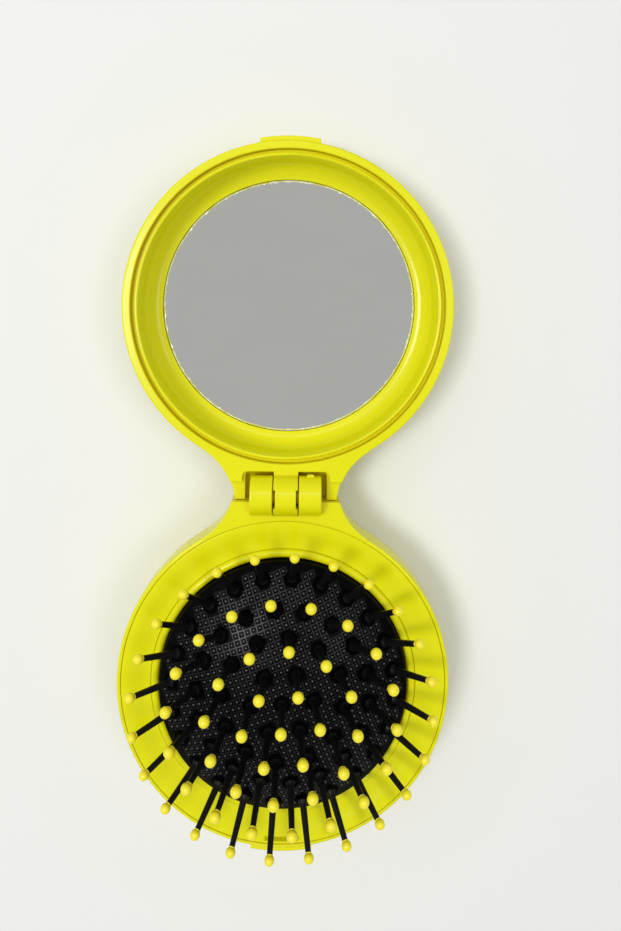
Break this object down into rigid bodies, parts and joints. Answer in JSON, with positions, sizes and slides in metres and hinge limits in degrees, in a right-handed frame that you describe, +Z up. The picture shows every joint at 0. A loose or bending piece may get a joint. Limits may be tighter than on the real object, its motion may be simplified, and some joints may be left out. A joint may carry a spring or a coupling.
{
  "type": "folding detangling brush",
  "caption": "Round folding hair brush: a hinged clamshell with a mirror in its lid and a pop-up dome of ball-tipped pins in its base.",
  "frame": {"origin": "under the hinge, on the surface that the opened brush lies on, midway along its length", "axes": "+Z up out of the mirror and the pins; +Y from the hinge to the lid, -Y to the brush; +X along the hinge"},
  "size_m": [0.06, 0.1296, 0.0302],
  "materials": {
    "shell": "glossy lemon-lime",
    "deck": "glossy lemon-lime",
    "pad": "satin with a fine dot texture",
    "pin": "satin",
    "tip": "glossy",
    "mirror": "polished",
    "tape": "foam tape",
    "steel": "drawn wire"
  },
  "bodies": {
    "base": {"base_bowl": "shell", "pad_frame": "deck", "pad_ring": "deck", "hinge_pin": "steel", "bristle_pad": "pad"},
    "lid": {"lid_cover": "shell", "mirror_tray": "deck", "mirror": "mirror", "mirror_tape": "tape"},
    "centre_pin": {"pin_centre": "pin", "tip_centre": "tip"},
    "first_ring": {"pins_first": "pin", "tips_first": "tip"},
    "second_ring": {"pins_second": "pin", "tips_second": "tip"},
    "third_ring": {"pins_third": "pin", "tips_third": "tip"},
    "outer_ring": {"pins_outer": "pin", "tips_outer": "tip"}
  },
  "joints": [
    {"name": "lid_fold", "type": "hinge", "parent": "base", "child": "lid", "pos_m": [0, 0, 0.0141], "axis": [1, 0, 0], "range_deg": [0, 180], "deforming": ["bristle_pad"]},
    {"name": "centre_drop", "type": "slide", "parent": "base", "child": "centre_pin", "axis": [0, 0, -1], "range_m": [0, 0.00816]},
    {"name": "first_drop", "type": "slide", "parent": "base", "child": "first_ring", "axis": [0, 0, -1], "range_m": [0, 0.00784]},
    {"name": "second_drop", "type": "slide", "parent": "base", "child": "second_ring", "axis": [0, 0, -1], "range_m": [0, 0.00691]},
    {"name": "third_drop", "type": "slide", "parent": "base", "child": "third_ring", "axis": [0, 0, -1], "range_m": [0, 0.00564]},
    {"name": "outer_drop", "type": "slide", "parent": "base", "child": "outer_ring", "axis": [0, 0, -1], "range_m": [0, 0.00374]}
  ],
  "couplings": [
    {"joint": "centre_drop", "follows": "lid_fold", "m_per_rad": 0.0025802},
    {"joint": "first_drop", "follows": "lid_fold", "m_per_rad": 0.0024805},
    {"joint": "second_drop", "follows": "lid_fold", "m_per_rad": 0.0021846},
    {"joint": "third_drop", "follows": "lid_fold", "m_per_rad": 0.0017806},
    {"joint": "outer_drop", "follows": "lid_fold", "m_per_rad": 0.0011735}
  ]
}
